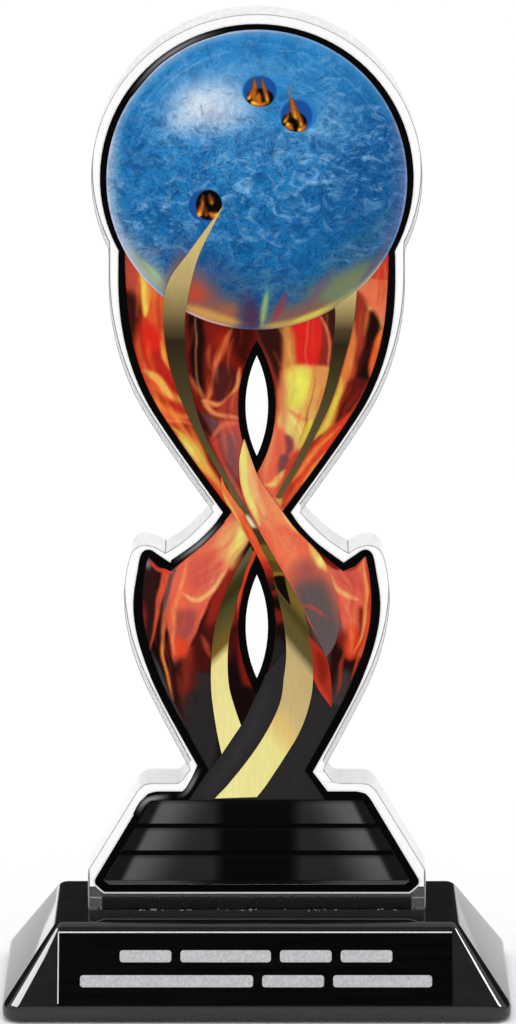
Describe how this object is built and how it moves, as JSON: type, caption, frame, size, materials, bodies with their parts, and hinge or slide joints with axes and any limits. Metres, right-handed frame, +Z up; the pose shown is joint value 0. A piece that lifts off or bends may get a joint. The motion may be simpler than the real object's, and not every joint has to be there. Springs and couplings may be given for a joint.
{
  "type": "bowling trophy",
  "caption": "Cut-out clear acrylic plaque printed with a bowling ball on a flaming ribbon cup, bonded in a slot in a weighted gloss-black base with an engraved plate.",
  "frame": {"origin": "on the table under the middle of the base, at the underside of the felt pad", "axes": "+Z up, +X to the right seen from the front, the printed face towards -Y"},
  "size_m": [0.129, 0.0562, 0.2542],
  "materials": {
    "clear_acrylic": "polished clear acrylic sheet, edges flame polished",
    "white_ink": "opaque white printed underbase",
    "black_ink": "satin black printed ink",
    "ball_ink": "printed marbled blue",
    "flame_ink": "printed red, orange and yellow flames",
    "gold_ink": "printed flat gold, shading from tan to olive to pale yellow",
    "charcoal_ink": "printed charcoal with soft grey shading",
    "black_plastic": "high-gloss black moulding",
    "dull_plastic": "textured black plastic sheet",
    "steel": "plain steel",
    "plate_metal": "black coated metal with bright bevelled edges and engraved silver marks",
    "tape_foam": "white double-sided foam tape",
    "glue": "cured clear adhesive",
    "felt_cloth": "black felt"
  },
  "bodies": {
    "root": {"plaque_acrylic": "clear_acrylic", "print_white_underbase": "white_ink", "print_outline_black": "black_ink", "print_window_line_upper": "black_ink", "print_window_line_lower": "black_ink", "print_ball": "ball_ink", "print_flames_upper": "flame_ink", "print_flames_lower": "flame_ink", "print_ribbon_gold_upper_left": "gold_ink", "print_ribbon_gold_upper_right": "gold_ink", "print_ribbon_gold_lower_left": "gold_ink", "print_ribbon_gold_lower_right": "gold_ink", "print_pedestal": "charcoal_ink", "base_shell": "black_plastic", "slot_adhesive": "glue", "bottom_cover": "dull_plastic", "felt_pad": "felt_cloth", "weight_bar_front": "steel", "weight_bar_back": "steel", "cover_screw_1": "steel", "cover_screw_2": "steel", "cover_screw_3": "steel", "cover_screw_4": "steel", "nameplate_tape": "tape_foam", "nameplate": "plate_metal"}
  },
  "joints": []
}
